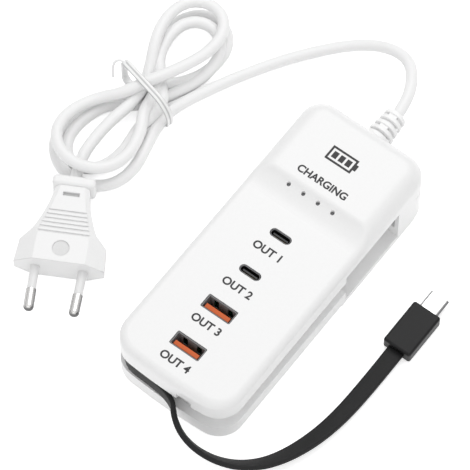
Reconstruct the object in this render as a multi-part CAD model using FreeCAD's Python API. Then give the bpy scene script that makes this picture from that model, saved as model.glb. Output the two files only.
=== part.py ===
"""Desktop USB charger: a white case with four ports, a tied mains lead with a flat two-pin plug, and a
short flat charging cable that lives in a groove round the case.

Millimetres. The origin is the middle of the case's underside, +Z up, +Y towards the mains lead, +X towards
the side with the connector pocket.
"""
import FreeCAD, Part
import math
import os

# Case
body_length = 132.3
body_width = 55.0
deck_height = 27.0
rear_height = 31.0
front_bow_radius = 240.0
front_corner_radius = 11.0
rear_corner_radius = 9.5
shoulder_radius = 7.6
deck_edge_radius = 3.2
lip_radius = 0.5
base_edge_radius = 1.2
rear_panel_length = 37.0
cove_radius = 17.0
wall = 2.0

# Parting line and the groove that holds the charging cable
parting_height = 16.4
groove_height = 8.0
groove_depth = 3.6
groove_left_length = 29.3
notch_offset = 8.6
notch_width = 6.6
notch_height = 3.6

# Pocket for the charging cable's connector
pocket_from_rear = 21.0
pocket_length = 34.0
pocket_depth = 7.0
pocket_floor = 3.0
pocket_roof = 20.8
tip_slot_height = 8.8
tip_slot_width = 3.4
tip_slot_depth = 9.0

# Case screws
screw_side_gap = 1.1
screw_front_inset = 9.2
screw_rear_inset = 12.5
screw_boss_radius = 2.9
screw_head_radius = 2.4
screw_head_height = 1.8
screw_shank_radius = 1.3
screw_length = 12.0
screw_seat_height = 10.0
screw_clearance = 0.2

# Ports, from the front end towards the rear, in a row a little off the middle, away from the pocket
port_x = -1.2
first_port_from_front = 16.1
port_pitch = 19.25
port_clearance = 0.3
port_recess = 0.4
usb_a_width = 13.1
usb_a_depth = 5.7
usb_a_tongue_width = 11.1
usb_a_tongue_thickness = 1.84
usb_a_tongue_gap = 0.5
usb_a_contact_pitch = 2.3
usb_a_contact_width = 1.0
usb_c_width = 8.94
usb_c_depth = 3.16
usb_c_tongue_width = 6.7
usb_c_tongue_thickness = 0.7
usb_c_contact_pitch = 0.5
usb_c_contact_width = 0.25
usb_c_contact_count = 12
port_metal = 0.3
contact_thickness = 0.15
tongue_below_rim = 0.9
port_floor_thickness = 2.0

# Boards
board_thickness = 1.6
main_board_top = 6.6
port_board_top = 12.6
board_gap = 0.5
board_side_margin = 2.4
port_board_front = 12.7
port_board_past_step = 0.5
main_board_front = 37.3
main_board_rear_margin = 16.0
post_radius = 1.6
post_end_margin = 4.0
header_width = 16.0
header_depth = 3.0
header_from_front = 43.3

# Status lights
led_count = 4
led_pitch = 6.9
led_before_step = 2.5
led_size = 1.6
led_height = 0.8
light_pipe_radius = 0.8
light_pipe_clearance = 0.05
light_pipe_recess = 0.5

# Parts on the boards
transformer_share = 0.48
transformer_depth = 14.0
transformer_height = 17.5
core_limb = 3.2
winding_margin = 1.6
bulk_capacitor_radius = 4.0
bulk_capacitor_height = 16.0
output_capacitor_radius = 3.15
output_capacitor_height = 8.5
output_capacitor_count = 3
suppressor_depth = 10.0
suppressor_height = 11.0
choke_height = 9.0
choke_flange = 1.2
part_gap = 0.6
flat_part_height = 2.6
rectifier_size = 6.5
transistor_width = 6.6
transistor_depth = 6.1
fuse_radius = 1.8
fuse_length = 10.0
controller_size = 5.0
controller_height = 1.0
lead_radius = 1.0
lead_spacing = 5.0

# Strain relief and mains lead
relief_length = 15.0
relief_root_length = 3.1
relief_root_radius = 5.6
relief_tip_radius = 4.7
relief_core_radius = 3.4
relief_neck_radius = 4.0
relief_flange_radius = 6.0
relief_flange = 1.6
relief_rings = 5
relief_slot = 1.2
relief_ring_edge_radius = 0.4
relief_bar_width = 3.4
cord_diameter = 4.8
cord_clearance = 0.2
plug_approach = 10.0

# Twist tie and hank
hank_layers = 3
tie_x = -85.0
tie_y = 35.05
tie_width = 3.8
tie_thickness = 0.9
tie_corner_radius = 4.5
tie_turn_deg = -14.0
waist_half_width = 13.4
waist_half_length = 7.0
lower_loop_x = -90.5
lower_loop_y = 7.15
lower_loop_radius = 18.5
lower_opening_radius = 9.0
upper_loop_x = -86.0
upper_loop_y = 67.65
upper_loop_radius = 14.0
upper_opening_radius = 5.0
tie_twist_length = 8.0
tie_twist_radius = 1.3
tie_twist_tip_radius = 0.8
tie_twist_drop_deg = 25.0

# Mains plug, with the standard flat two-pin face
plug_face_x = -66.6
plug_face_y = -46.55
plug_turn_deg = 28.7
plug_width = 35.3
plug_thickness = 13.7
plug_flat_width = 20.4
plug_side_height = 4.8
plug_block_length = 9.8
plug_shoulder_length = 4.2
plug_length = 38.7
plug_taper = 1.4
neck_width = 25.0
neck_tip_width = 13.4
neck_bevel = 1.95
neck_middle_share = 0.35
neck_tip_thickness = 9.4
collar_width = 17.0
collar_thickness = 10.6
collar_length = 4.6
collar_edge_radius = 1.6
rib_count = 6
rib_pitch = 1.95
rib_groove = 0.7
rib_groove_depth = 0.45
rib_start = 12.4
recess_radius = 3.3
recess_depth = 0.4
recess_from_face = 5.8
slot_width = 6.4
slot_length = 1.7
slot_depth = 1.0
slot_from_face = 30.2
pin_radius = 2.0
pin_length = 19.0
pin_bare_length = 9.0
pin_spacing = 18.6
pin_tip_spacing = 17.5
pin_round = 1.6
pin_core_radius = 1.4
pin_sleeve_radius = 1.8
pin_root_length = 8.0

# Charging cable
cable_width = 7.0
cable_thickness = 2.0
cable_inset = 1.5
cable_corner_set_back = 0.6
anchor_length = 9.0
anchor_clearance = 0.3
anchor_stem_height = 4.4
connector_width = 12.5
connector_length = 20.6
connector_thickness = 6.0
connector_edge_radius = 1.0
connector_shell_width = 8.25
connector_shell_thickness = 2.4
connector_shell_length = 8.2
connector_metal = 0.3
connector_insert_depth = 4.6
connector_gap = 0.2

# Places that follow from the sizes above
front_y = -body_length / 2
rear_y = body_length / 2
side_x = body_width / 2
step_y = rear_y - rear_panel_length
cove_start_y = step_y - math.sqrt(cove_radius ** 2 - (cove_radius - rear_height + deck_height) ** 2)
groove_floor = parting_height - groove_height
groove_middle = parting_height - groove_height / 2
groove_left_end_y = front_y + groove_left_length
core_inset = groove_depth + wall
pocket_rear_y = rear_y - pocket_from_rear
pocket_front_y = pocket_rear_y - pocket_length
pocket_inner_x = side_x - pocket_depth
port_board_left = -side_x + core_inset + board_side_margin
port_board_right = pocket_inner_x - wall - board_gap
main_board_left = port_board_left + 2 * post_radius + board_gap
main_board_right = port_board_right - 2 * post_radius - board_gap
port_board_y = (front_y + port_board_front, step_y + port_board_past_step)
main_board_y = (front_y + main_board_front, rear_y - main_board_rear_margin)
port_rim = deck_height - port_recess
port_y = [front_y + first_port_from_front + i * port_pitch for i in range(4)]
led_x = [port_x + (i - (led_count - 1) / 2) * led_pitch for i in range(led_count)]
led_y = step_y - led_before_step
screw_x = pocket_inner_x - wall - screw_boss_radius - screw_side_gap
screw_places = [(side * screw_x, y) for y in (front_y + screw_front_inset, rear_y - screw_rear_inset)
                for side in (-1, 1)]
tall_y = (port_board_y[1] + part_gap, main_board_y[1])
transformer_width = transformer_share * (main_board_right - main_board_left)
bulk_x = main_board_left + transformer_width + part_gap + bulk_capacitor_radius
side_column_x = bulk_x + bulk_capacitor_radius + part_gap
suppressor_width = main_board_right - part_gap - side_column_x
choke_radius = suppressor_width / 2
hank_height = hank_layers * cord_diameter

# Route of the mains lead from the strain relief to the hank, and of its tail from the hank to the plug
relief_end_y = rear_y + relief_length
floor_z = cord_diameter / 2
lead_route = [(0, relief_end_y, parting_height), (0, relief_end_y + 10.7, parting_height),
              (-3.6, 100.4, 15.4), (-10.6, 106.8, 13.2), (-20.2, 109.2, 10.4), (-29.8, 107.4, 7.4),
              (-38.3, 102.0, 5.0), (-46.2, 93.6, 3.3), (-53.8, 83.1, floor_z), (-61.2, 70.9, floor_z),
              (-68.0, 57.8, floor_z), (-74.4, 44.8, 2.8)]
tail_route = [(-89.2, 27.1, 8.2), (-90.6, 18.1, 7.2), (-91.0, 7.6, 7.2)]

# Route of the charging cable from its anchor to its connector, and the point where it leaves upright
cable_route = [(-side_x + cable_inset, groove_left_end_y - anchor_length, groove_middle),
               (-side_x + cable_inset, front_y + cable_inset + cable_corner_set_back, groove_middle),
               (-3.4, front_y + cable_inset, groove_middle), (4.6, front_y - 1.0, groove_middle),
               (7.4, front_y - 4.4, 10.8), (13.6, front_y - 8.0, 9.0), (21.6, front_y - 9.2, 7.6),
               (side_x + 3.1, front_y - 7.6, 6.4), (side_x + 11.5, front_y - 3.2, 5.6),
               (side_x + 18.7, front_y + 4.6, 4.8), (side_x + 24.1, front_y + 16.6, 4.0),
               (side_x + 27.5, front_y + 31.6, 3.2), (side_x + 28.5, front_y + 50.6, 2.6),
               (side_x + 28.4, front_y + 70.9, 3.0)]
cable_twist_start = 3
connector_x, connector_z = cable_route[-1][0], cable_route[-1][2]
connector_y = cable_route[-1][1] + connector_gap


def vec(x, y, z):
    return FreeCAD.Vector(x, y, z)


def box(x0, x1, y0, y1, z0, z1):
    return Part.makeBox(x1 - x0, y1 - y0, z1 - z0, vec(x0, y0, z0))


def upright(x, y, z0, z1, radius):
    return Part.makeCylinder(radius, z1 - z0, vec(x, y, z0))


def line(a, b):
    return Part.LineSegment(a, b).toShape()


def arc(a, b, c):
    return Part.Arc(a, b, c).toShape()


def join(shapes):
    first, *rest = shapes
    return first.fuse(rest).removeSplitter() if rest else first


def outline(inset, z):
    """The case's plan outline, moved in by inset: a bowed front, straight sides and a straight rear."""
    x, y0, y1 = side_x - inset, front_y + inset, rear_y - inset
    front, rear, bow = (r - inset for r in (front_corner_radius, rear_corner_radius, front_bow_radius))
    bulge = 1 - math.sqrt(0.5)
    bow_y = y0 + bow
    corner_x = x - front
    corner_y = bow_y - math.sqrt((bow - front) ** 2 - corner_x ** 2)
    lean_x, lean_y = corner_x / (bow - front), (corner_y - bow_y) / (bow - front)
    meet_x, meet_y = bow * lean_x, bow_y + bow * lean_y
    half = math.hypot(lean_x + 1, lean_y)
    turn_x, turn_y = corner_x + front * (lean_x + 1) / half, corner_y + front * lean_y / half

    def at(px, py):
        return vec(px, py, z)

    return Part.Wire([
        arc(at(-meet_x, meet_y), at(0, y0), at(meet_x, meet_y)),
        arc(at(meet_x, meet_y), at(turn_x, turn_y), at(x, corner_y)),
        line(at(x, corner_y), at(x, y1 - rear)),
        arc(at(x, y1 - rear), at(x - bulge * rear, y1 - bulge * rear), at(x - rear, y1)),
        line(at(x - rear, y1), at(rear - x, y1)),
        arc(at(rear - x, y1), at(bulge * rear - x, y1 - bulge * rear), at(-x, y1 - rear)),
        line(at(-x, y1 - rear), at(-x, corner_y)),
        arc(at(-x, corner_y), at(-turn_x, turn_y), at(-meet_x, meet_y)),
    ])


def prism(inset, z0, z1):
    return Part.Face(outline(inset, z0)).extrude(vec(0, 0, z1 - z0))


def edges_at(shape, z):
    return [e for e in shape.Edges if all(abs(v.Z - z) < 1e-6 for v in e.Vertexes)]


def rounded_plate(width, depth, radius, x, y, z0, z1):
    """A rectangular bar along Z with round corners, centred on x and y."""
    bar = box(x - width / 2, x + width / 2, y - depth / 2, y + depth / 2, z0, z1)
    corners = [e for e in bar.Edges if abs(e.Vertexes[0].Z - e.Vertexes[1].Z) > 1e-6]
    return bar.makeFillet(radius, corners)


def behind_groove(inset):
    """The part of the plan whose side walls have no groove: behind its left end and behind the pocket."""
    low, high = -1.0, rear_height + 1.0
    left = box(-side_x, 0, groove_left_end_y + inset, rear_y, low, high)
    right = box(0, side_x, pocket_rear_y + inset, rear_y, low, high)
    return left.fuse(right)


def case_cavity(z0, z1):
    """The room inside the case beside the groove, and the wider room behind it."""
    return join([prism(core_inset, z0, z1), prism(wall, z0, z1).common(behind_groove(wall))])


def pocket_space():
    """The connector's pocket, open at the side and to the groove, with a slot for the metal tip."""
    room = box(pocket_inner_x, side_x + wall, pocket_front_y, pocket_rear_y, pocket_floor, pocket_roof)
    middle_x = side_x - pocket_depth / 2
    slot = box(middle_x - tip_slot_width / 2, middle_x + tip_slot_width / 2, pocket_rear_y,
               pocket_rear_y + tip_slot_depth, groove_middle - tip_slot_height / 2,
               groove_middle + tip_slot_height / 2)
    way_in = box(side_x - groove_depth, side_x + wall, pocket_front_y - 2 * wall, pocket_front_y,
                 groove_floor, parting_height)
    return join([room, slot, way_in])


def pocket_walls(z0, z1):
    """Solid stuff round the pocket, within the case's outline."""
    block = box(pocket_inner_x - wall, side_x, pocket_front_y - wall,
                pocket_rear_y + tip_slot_depth + wall, z0, z1)
    return block.common(prism(0, z0, z1))


def cable_hole():
    """The hole through the groove's back wall for the charging cable's anchor."""
    half = anchor_stem_height / 2
    middle_y = groove_left_end_y - anchor_length / 2
    x0 = -side_x + groove_depth - wall
    return box(x0, -side_x + core_inset + wall, middle_y - half, middle_y + half, groove_middle - half,
               groove_middle + half)


def relief_hole():
    return Part.makeCylinder(relief_neck_radius, 2 * core_inset,
                             vec(0, rear_y - core_inset, parting_height), vec(0, 1, 0))


def bottom_shell():
    tray = prism(0, 0, groove_floor)
    tray = tray.makeFillet(base_edge_radius, edges_at(tray, 0))
    core = prism(groove_depth, groove_floor, parting_height)
    plain = prism(0, groove_floor, parting_height).common(behind_groove(0))
    shell = join([tray, core, plain]).cut(case_cavity(wall, parting_height + 1))
    posts = [upright(x, y, wall, port_board_top - board_thickness, post_radius)
             for x, y in port_post_places()]
    posts += [upright(x, y, wall, main_board_top - board_thickness, post_radius)
              for x, y in main_post_places()]
    bosses = [upright(x, y, 0, parting_height, screw_boss_radius) for x, y in screw_places]
    shell = join([shell, pocket_walls(0, parting_height), *posts, *bosses])
    shell = shell.cut([pocket_space(), cable_hole(), relief_hole()])
    for x, y in screw_places:
        well = upright(x, y, -1, screw_seat_height, screw_head_radius + screw_clearance)
        hole = upright(x, y, -1, parting_height + 1, screw_shank_radius + screw_clearance)
        shell = shell.cut([well, hole])
    return shell


def lies_at_y(edge, y):
    """Says whether both ends of an edge lie at this y."""
    return all(abs(vertex.Y - y) < 1e-4 for vertex in edge.Vertexes)


def top_cover():
    cover = prism(0, parting_height, rear_height)
    cover = cover.makeFillet(shoulder_radius, edges_at(cover, rear_height))
    cover = cover.makeFillet(lip_radius, edges_at(cover, parting_height)).cut(deck_scoop())
    rim = [edge for edge in edges_at(cover, deck_height) if not lies_at_y(edge, cove_start_y)]
    cover = cover.makeFillet(deck_edge_radius, rim)
    ledge_top = parting_height + wall
    roof = prism(wall + shoulder_radius / 2, ledge_top, rear_height - wall)
    hump = roof.common(box(-side_x, side_x, step_y + wall, rear_y, ledge_top, rear_height))
    cover = cover.cut([case_cavity(parting_height - 1, ledge_top),
                       prism(wall, ledge_top, deck_height - wall), hump])
    bosses = [upright(x, y, parting_height, (deck_height if y < step_y else rear_height) - wall,
                      screw_boss_radius) for x, y in screw_places]
    cover = join([cover, pocket_walls(parting_height, pocket_roof + wall), notch_hood(), *bosses])
    cuts = [pocket_space(), relief_hole(), finger_notch()]
    cuts += [usb_a_bar(y, port_clearance, 0, rear_height) for y in port_y[:2]]
    cuts += [usb_c_bar(y, port_clearance, 0, rear_height) for y in port_y[2:]]
    cuts += [upright(x, led_y, parting_height, rear_height, light_pipe_radius + light_pipe_clearance)
             for x in led_x]
    cuts += [upright(x, y, 0, screw_seat_height + screw_length, screw_shank_radius)
             for x, y in screw_places]
    return cover.cut(cuts)


def deck_scoop():
    """What the lowered deck and the cove behind it take away from the full-height cover."""
    rise = rear_height - deck_height
    half_turn = math.acos((cove_radius - rise) / cove_radius) / 2
    above = rear_height + wall

    def at(y, z):
        return vec(-body_width, y, z)

    profile = Part.Wire([
        line(at(-body_length, deck_height), at(cove_start_y, deck_height)),
        arc(at(cove_start_y, deck_height),
            at(cove_start_y + cove_radius * math.sin(half_turn),
               deck_height + cove_radius * (1 - math.cos(half_turn))),
            at(step_y, rear_height)),
        line(at(step_y, rear_height), at(step_y, above)),
        line(at(step_y, above), at(-body_length, above)),
        line(at(-body_length, above), at(-body_length, deck_height)),
    ])
    return Part.Face(profile).extrude(vec(2 * body_width, 0, 0))


def finger_notch():
    """The notch in the cover's lip where a finger lifts the cable out."""
    x0, x1 = notch_offset - notch_width / 2, notch_offset + notch_width / 2
    return box(x0, x1, front_y - 1, front_y + groove_depth, parting_height - 1,
               parting_height + notch_height)


def notch_hood():
    """The walls behind and over the notch, which keep the case closed there."""
    half = notch_width / 2 + wall
    hood = box(notch_offset - half, notch_offset + half, front_y, front_y + core_inset, parting_height,
               parting_height + notch_height + wall)
    return hood.common(prism(0, parting_height, deck_height))


def port_post_places():
    left, right = port_board_left + post_radius, port_board_right - post_radius
    y0, y1 = port_board_y[0] + post_end_margin, port_board_y[1] - post_end_margin
    return [(left, y0), (right, y0), (left, y1), (right, y1)]


def main_post_places():
    left, right = main_board_left + post_end_margin, main_board_right - post_end_margin
    y0, y1 = main_board_y[0] + post_end_margin, main_board_y[1] - post_end_margin
    return [(left, y0), (right, y0), (left, y1), (right, y1)]


def case_screws():
    screws = []
    for x, y in screw_places:
        head = upright(x, y, screw_seat_height - screw_head_height, screw_seat_height, screw_head_radius)
        drive = upright(x, y, 0, screw_seat_height - screw_head_height / 2, screw_head_radius / 3)
        shank = upright(x, y, screw_seat_height, screw_seat_height + screw_length, screw_shank_radius)
        screws.append(join([head, shank]).cut(drive))
    return Part.makeCompound(screws)


def port_box(half_width, y0, y1, z0, z1):
    return box(port_x - half_width, port_x + half_width, y0, y1, z0, z1)


def usb_a_bar(y, grow, z0, z1):
    width, depth = usb_a_width + 2 * grow, usb_a_depth + 2 * grow
    return rounded_plate(width, depth, port_metal + max(grow, 0), port_x, y, z0, z1)


def usb_c_bar(y, grow, z0, z1):
    """A bar along Z with round ends, the outline of a USB-C receptacle."""
    width, depth = usb_c_width + 2 * grow, usb_c_depth + 2 * grow
    straight = (width - depth) / 2
    ends = [upright(port_x + side * straight, y, z0, z1, depth / 2) for side in (-1, 1)]
    return join([port_box(straight, y - depth / 2, y + depth / 2, z0, z1), *ends])


def usb_a_shell(y):
    tube = usb_a_bar(y, 0, port_board_top, port_rim)
    half_width, half_depth = usb_a_width / 2 - port_metal, usb_a_depth / 2 - port_metal
    shell = tube.cut(port_box(half_width, y - half_depth, y + half_depth, port_board_top - 1, port_rim + 1))
    spring_height = (port_rim - port_board_top) / 2
    for side in (-1, 1):
        middle = port_x + side * usb_a_width / 4
        window = box(middle - usb_a_contact_pitch / 2, middle + usb_a_contact_pitch / 2, y,
                     y + usb_a_depth, port_rim - spring_height, port_rim - port_metal * 4)
        shell = shell.cut(window)
    return shell


def usb_a_tongue(y):
    inner = usb_a_depth / 2 - port_metal
    floor_top = port_board_top + port_floor_thickness
    floor = port_box(usb_a_width / 2 - port_metal, y - inner, y + inner, port_board_top, floor_top)
    back = y - inner + usb_a_tongue_gap
    tongue = port_box(usb_a_tongue_width / 2, back, back + usb_a_tongue_thickness, floor_top,
                      port_rim - tongue_below_rim)
    return join([floor, tongue])


def usb_a_contacts(y):
    face = y - usb_a_depth / 2 + port_metal + usb_a_tongue_gap + usb_a_tongue_thickness
    strips = []
    for i in range(4):
        x = port_x + (i - 1.5) * usb_a_contact_pitch
        strips.append(box(x - usb_a_contact_width / 2, x + usb_a_contact_width / 2, face,
                          face + contact_thickness, port_board_top + port_floor_thickness,
                          port_rim - 2 * tongue_below_rim))
    return Part.makeCompound(strips)


def usb_c_shell(y):
    tube = usb_c_bar(y, 0, port_board_top, port_rim)
    return tube.cut(usb_c_bar(y, -port_metal, port_board_top - 1, port_rim + 1))


def usb_c_tongue(y):
    floor_top = port_board_top + port_floor_thickness
    floor = usb_c_bar(y, -port_metal, port_board_top, floor_top)
    tongue = port_box(usb_c_tongue_width / 2, y - usb_c_tongue_thickness / 2,
                      y + usb_c_tongue_thickness / 2, floor_top, port_rim - tongue_below_rim)
    return join([floor, tongue])


def usb_c_contacts(y):
    strips = []
    for i in range(usb_c_contact_count):
        x = port_x + (i - (usb_c_contact_count - 1) / 2) * usb_c_contact_pitch
        for side in (-1, 1):
            face = y + side * usb_c_tongue_thickness / 2
            low, high = sorted((face, face + side * contact_thickness))
            strips.append(box(x - usb_c_contact_width / 2, x + usb_c_contact_width / 2, low, high,
                              port_board_top + port_floor_thickness, port_rim - 2 * tongue_below_rim))
    return Part.makeCompound(strips)


def port_board():
    return box(port_board_left, port_board_right, *port_board_y, port_board_top - board_thickness,
               port_board_top)


def main_board():
    return box(main_board_left, main_board_right, *main_board_y, main_board_top - board_thickness,
               main_board_top)


def board_header():
    y = front_y + header_from_front
    return box(-header_width / 2, header_width / 2, y - header_depth / 2, y + header_depth / 2,
               main_board_top, port_board_top - board_thickness)


def leds():
    half = led_size / 2
    return Part.makeCompound([box(x - half, x + half, led_y - half / 2, led_y + half / 2, port_board_top,
                                  port_board_top + led_height) for x in led_x])


def light_pipes():
    along = led_y - light_pipe_radius - cove_start_y
    surface = deck_height + cove_radius - math.sqrt(cove_radius ** 2 - along ** 2)
    return Part.makeCompound([upright(x, led_y, port_board_top + led_height, surface - light_pipe_recess,
                                      light_pipe_radius) for x in led_x])


def transformer_place():
    return main_board_left, tall_y[0] + part_gap


def transformer_core():
    """A pair of E cores: a frame with a middle limb, which the winding sits on."""
    x, y = transformer_place()
    core = box(x, x + transformer_width, y, y + transformer_depth, main_board_top,
               main_board_top + transformer_height)
    low, high = main_board_top + core_limb, main_board_top + transformer_height - core_limb
    middle = x + transformer_width / 2
    windows = [box(x + core_limb, middle - core_limb / 2, y - 1, y + transformer_depth + 1, low, high),
               box(middle + core_limb / 2, x + transformer_width - core_limb, y - 1,
                   y + transformer_depth + 1, low, high)]
    margins = [box(x - 1, x + transformer_width + 1, y - 1, y + winding_margin, main_board_top - 1,
                   main_board_top + transformer_height + 1),
                   box(x - 1, x + transformer_width + 1, y + transformer_depth - winding_margin,
                       y + transformer_depth + 1, main_board_top - 1,
                       main_board_top + transformer_height + 1)]
    return core.cut(windows + margins)


def transformer_winding():
    x, y = transformer_place()
    low, high = main_board_top + core_limb, main_board_top + transformer_height - core_limb
    middle = x + transformer_width / 2
    coil = box(x + core_limb, x + transformer_width - core_limb, y, y + transformer_depth, low, high)
    limb = box(middle - core_limb / 2, middle + core_limb / 2, y + winding_margin,
               y + transformer_depth - winding_margin, low, high)
    return coil.cut(limb)


def bulk_capacitors():
    first = tall_y[0] + part_gap + bulk_capacitor_radius
    step = 2 * bulk_capacitor_radius + part_gap
    return Part.makeCompound([upright(bulk_x, first + i * step, main_board_top,
                                      main_board_top + bulk_capacitor_height, bulk_capacitor_radius)
                                      for i in range(2)])


def filter_choke():
    """A drum core with flanges at both ends."""
    x, y = side_column_x + choke_radius, tall_y[0] + part_gap + choke_radius
    drum = upright(x, y, main_board_top, main_board_top + choke_height, choke_radius * 0.8)
    foot = upright(x, y, main_board_top, main_board_top + choke_flange, choke_radius)
    head = upright(x, y, main_board_top + choke_height - choke_flange, main_board_top + choke_height,
                   choke_radius)
    return join([drum, foot, head])


def suppression_capacitor():
    x, y = side_column_x, tall_y[0] + 2 * part_gap + 2 * choke_radius
    block = box(x, x + suppressor_width, y, y + suppressor_depth, main_board_top,
                main_board_top + suppressor_height)
    return block.makeFillet(part_gap, edges_at(block, main_board_top + suppressor_height))


def output_capacitors():
    x = port_board_left + post_radius + output_capacitor_radius
    places = [(port_y[i] + port_y[i + 1]) / 2 for i in range(output_capacitor_count)]
    return Part.makeCompound([upright(x, y, port_board_top, port_board_top + output_capacitor_height,
                                      output_capacitor_radius) for y in places])


def port_controllers():
    x = port_board_right - post_radius - controller_size
    places = [(port_y[i] + port_y[i + 1]) / 2 for i in (0, 2)]
    half = controller_size / 2
    return Part.makeCompound([box(x - half, x + half, y - half, y + half, port_board_top,
                                  port_board_top + controller_height) for y in places])


def flat_part(x, y, width, depth):
    """A low package on the main board, under the port board."""
    return box(x - width / 2, x + width / 2, y - depth / 2, y + depth / 2, main_board_top,
               main_board_top + flat_part_height)


def bridge_rectifier():
    return flat_part(main_board_left + rectifier_size, port_y[3], rectifier_size, rectifier_size)


def power_transistor():
    return flat_part(main_board_right - transistor_width, port_y[3], transistor_width, transistor_depth)


def fuse():
    start = vec(-fuse_length / 2, led_y, main_board_top + fuse_radius)
    return Part.makeCylinder(fuse_radius, fuse_length, start, vec(1, 0, 0))


def inner_lead(side):
    """An insulated wire from the strain relief down to the main board."""
    x = side * lead_spacing / 2
    start_y = rear_y - wall - relief_flange
    end_y = main_board_y[1] - 1.3 * lead_radius
    bend = 2 * lead_radius
    high, low = parting_height, main_board_top
    turn = bend * math.sqrt(0.5)
    path = Part.Wire([
        line(vec(x, start_y, high), vec(x, end_y + bend, high)),
        arc(vec(x, end_y + bend, high), vec(x, end_y + bend - turn, high - bend + turn),
            vec(x, end_y, high - bend)),
        line(vec(x, end_y, high - bend), vec(x, end_y, low)),
    ])
    return tube(path, lead_radius)


def tube(path, radius):
    """A round bar swept along a path."""
    start = path.OrderedVertexes[0].Point
    direction = path.OrderedEdges[0].tangentAt(path.OrderedEdges[0].FirstParameter)
    if (path.OrderedEdges[0].valueAt(path.OrderedEdges[0].FirstParameter) - start).Length > 1e-6:
        direction = -path.OrderedEdges[0].tangentAt(path.OrderedEdges[0].LastParameter)
    ring = Part.Wire([Part.Circle(start, direction, radius).toShape()])
    return path.makePipeShell([ring], True, False)


def strain_relief():
    """A clamped root in the case wall, then rings joined by bars, at the sides and at the top in turn."""

    def disc(y0, y1, radius):
        return Part.makeCylinder(radius, y1 - y0, vec(0, y0, parting_height), vec(0, 1, 0))

    inner = rear_y - wall
    pieces = [
        disc(inner - relief_flange, inner, relief_flange_radius),
        disc(inner, rear_y, relief_neck_radius),
        disc(rear_y, rear_y + relief_length, relief_core_radius),
    ]
    pitch = (relief_length - relief_root_length) / (relief_rings - 1)
    for i in range(relief_rings):
        end = rear_y + relief_root_length + i * pitch
        start = end - pitch + relief_slot if i else rear_y
        radius = relief_root_radius + (relief_tip_radius - relief_root_radius) * i / (relief_rings - 1)
        ring = disc(start, end, radius)
        rims = [e for e in ring.Edges if len(e.Vertexes) == 1]
        pieces.append(ring.makeFillet(relief_ring_edge_radius, rims))
        if i < relief_rings - 1:
            reach, half = radius - relief_core_radius / 4, relief_bar_width / 2
            across, up = (half, reach) if i % 2 else (reach, half)
            pieces.append(box(-across, across, end - pitch / 4, end + pitch / 2, parting_height - up,
                              parting_height + up))
    return join(pieces)


def rounded_path(points):
    """Straight runs joined by tangent arcs, each as large as its two runs allow, with the radii used."""
    places = [vec(*p) for p in points]
    edges, radii, start = [], [], places[0]
    for before, corner, after in zip(places, places[1:], places[2:]):
        back, ahead = before - corner, after - corner
        trim = 0.45 * min(back.Length, ahead.Length)
        turn = math.pi - back.getAngle(ahead)
        radius = trim / math.tan(turn / 2)
        back.normalize()
        ahead.normalize()
        middle = back + ahead
        middle.normalize()
        arc_start, arc_end = corner + back * trim, corner + ahead * trim
        arc_middle = corner + middle * (radius / math.cos(turn / 2) - radius)
        edges += [line(start, arc_start), arc(arc_start, arc_middle, arc_end)]
        radii.append(radius)
        start = arc_end
    edges.append(line(start, places[-1]))
    return Part.Wire(edges), radii


def cord_tube(name, points):
    path, radii = rounded_path(points)
    solid = tube(path, cord_diameter / 2)
    section = math.pi * cord_diameter ** 2 / 4
    print(name, "length", round(path.Length, 1), "volume over section times length",
          round(solid.Volume / (section * path.Length), 4), "radii", [round(r, 1) for r in radii])
    return solid


def along_plug(shape):
    """Moves a shape from the plug's frame, with its face at y 0 and cord at +Y, to where the plug lies."""
    shape = shape.copy()
    shape.rotate(vec(0, 0, 0), vec(0, 0, 1), plug_turn_deg)
    shape.translate(vec(plug_face_x, plug_face_y, plug_thickness / 2))
    return shape


def plug_place(x, y):
    turn = math.radians(plug_turn_deg)
    return (plug_face_x + x * math.cos(turn) - y * math.sin(turn),
            plug_face_y + x * math.sin(turn) + y * math.cos(turn), plug_thickness / 2)


def plug_section(y, width, flat_width, thickness, side_height):
    """A flattened eight-sided section of the plug, across its length."""
    w, f, t, s = width / 2, flat_width / 2, thickness / 2, side_height / 2
    corners = [(-f, t), (f, t), (w, s), (w, -s), (f, -t), (-f, -t), (-w, -s), (-w, s)]
    return Part.makePolygon([vec(x, y, z) for x, z in corners + corners[:1]])


def on_both_pins(shape):
    """Copies of a shape on the axes of the two pins, which lean towards each other, in the plug's frame."""
    lean = math.degrees(math.atan2((pin_spacing - pin_tip_spacing) / 2, pin_length))
    copies = []
    for side in (-1, 1):
        copy = shape.copy()
        copy.rotate(vec(0, 0, 0), vec(0, 0, 1), -side * lean)
        copy.translate(vec(side * pin_spacing / 2, 0, 0))
        copies.append(copy)
    return copies


def along_y(y0, y1, radius):
    return Part.makeCylinder(radius, y1 - y0, vec(0, y0, 0), vec(0, 1, 0))


def pins():
    bare_start = pin_bare_length - pin_length
    tip = along_y(-pin_length, bare_start, pin_radius)
    tip = tip.makeFillet(pin_round, [e for e in tip.Edges if e.BoundBox.YMax < 1e-6 - pin_length])
    return on_both_pins(join([tip, along_y(bare_start, pin_root_length, pin_core_radius)]))


def sleeves():
    start, end = pin_bare_length - pin_length, pin_root_length / 2
    core = along_y(start - 1, end + 1, pin_core_radius)
    return on_both_pins(along_y(start, end, pin_sleeve_radius).cut(core))


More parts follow.
